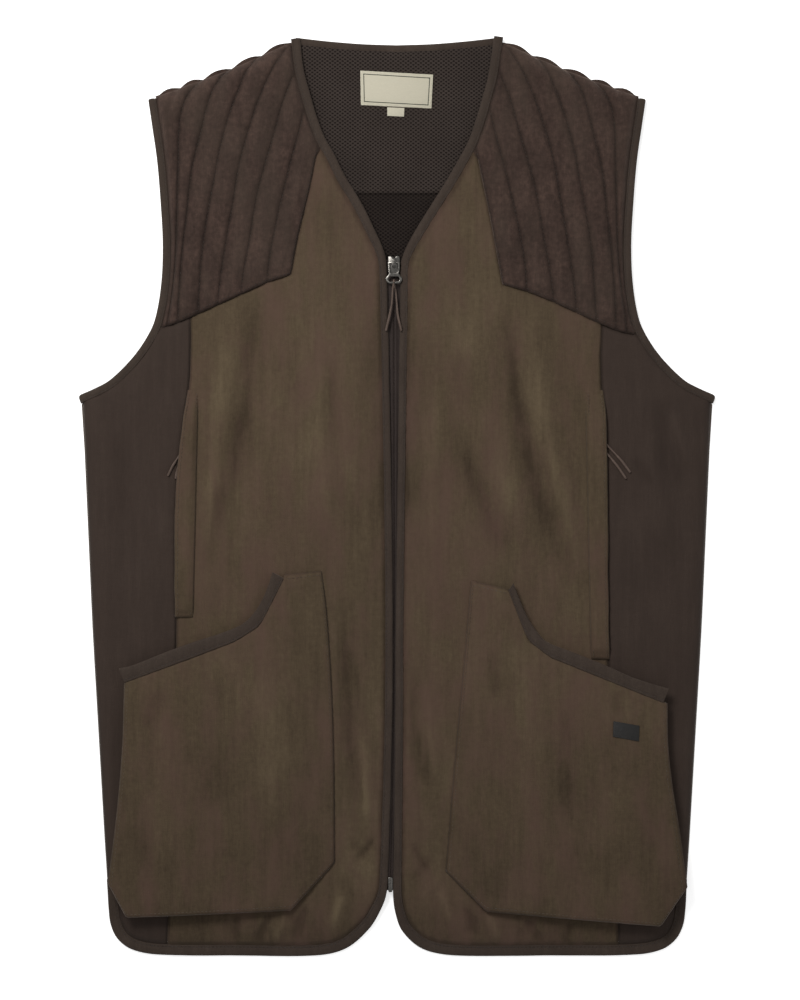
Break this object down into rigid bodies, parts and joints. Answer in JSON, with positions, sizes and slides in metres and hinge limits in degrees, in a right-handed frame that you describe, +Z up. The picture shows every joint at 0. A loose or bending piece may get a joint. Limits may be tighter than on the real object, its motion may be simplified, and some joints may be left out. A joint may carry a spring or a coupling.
{
  "type": "shooting gilet",
  "caption": "Sleeveless zip-front shooting gilet laid flat on its back, with quilted shoulder patches, bellows cargo pockets and bound edges.",
  "frame": {"origin": "on the surface that the gilet lies on, at the middle of its outline", "axes": "+X towards the picture's right, +Y towards the neck, +Z up off the surface, out of the front. Node names say left and right as the picture shows them."},
  "size_m": [0.5546, 0.8017, 0.0217],
  "materials": {
    "olive cloth": "brushed woven, olive brown",
    "brown cloth": "plain woven, dark brown",
    "suede cloth": "suede-like nap, dark reddish brown",
    "binding": "woven tape, grey brown",
    "lining net": "knitted net",
    "dark lining net": "knitted net",
    "zip tape": "woven tape",
    "dark metal": "plated, gunmetal",
    "lace": "round waxed lace",
    "label": "woven satin, cream",
    "woven tab": "woven, near black"
  },
  "bodies": {
    "gilet": {"back_panel": "olive cloth", "front_left": "olive cloth", "front_right": "olive cloth", "welt_left": "olive cloth", "welt_right": "olive cloth", "pocket_face_left": "olive cloth", "pocket_face_right": "olive cloth", "pocket_gusset_left": "olive cloth", "pocket_gusset_right": "olive cloth", "side_front_left": "brown cloth", "side_front_right": "brown cloth", "shoulder_patch_left": "suede cloth", "shoulder_patch_right": "suede cloth", "front_edge_binding_left": "binding", "front_edge_binding_right": "binding", "armhole_binding_left": "binding", "armhole_binding_right": "binding", "back_neck_binding": "binding", "back_hem_binding": "binding", "pocket_mouth_binding_left": "binding", "pocket_mouth_binding_right": "binding", "back_yoke_lining": "lining net", "back_body_lining": "dark lining net", "zip_tape_left": "zip tape", "zip_tape_right": "zip tape", "zip_slider": "dark metal", "zip_bail": "dark metal", "zip_box": "dark metal", "side_zip_slider_left": "dark metal", "side_zip_slider_right": "dark metal", "side_lace_left_1": "lace", "side_lace_left_2": "lace", "side_lace_right_1": "lace", "side_lace_right_2": "lace", "neck_label": "label", "size_tab": "label", "pocket_tab": "woven tab"},
    "pull_tab": {"zip_pull_tab": "dark metal", "pull_lace_loop": "lace", "pull_lace_left": "lace", "pull_lace_right": "lace"}
  },
  "joints": [
    {"name": "pull_tab_hinge", "type": "hinge", "parent": "gilet", "child": "pull_tab", "pos_m": [-0.0027, 0.2028, 0.0098], "axis": [-1, 0, 0], "range_deg": [0, 150]}
  ]
}
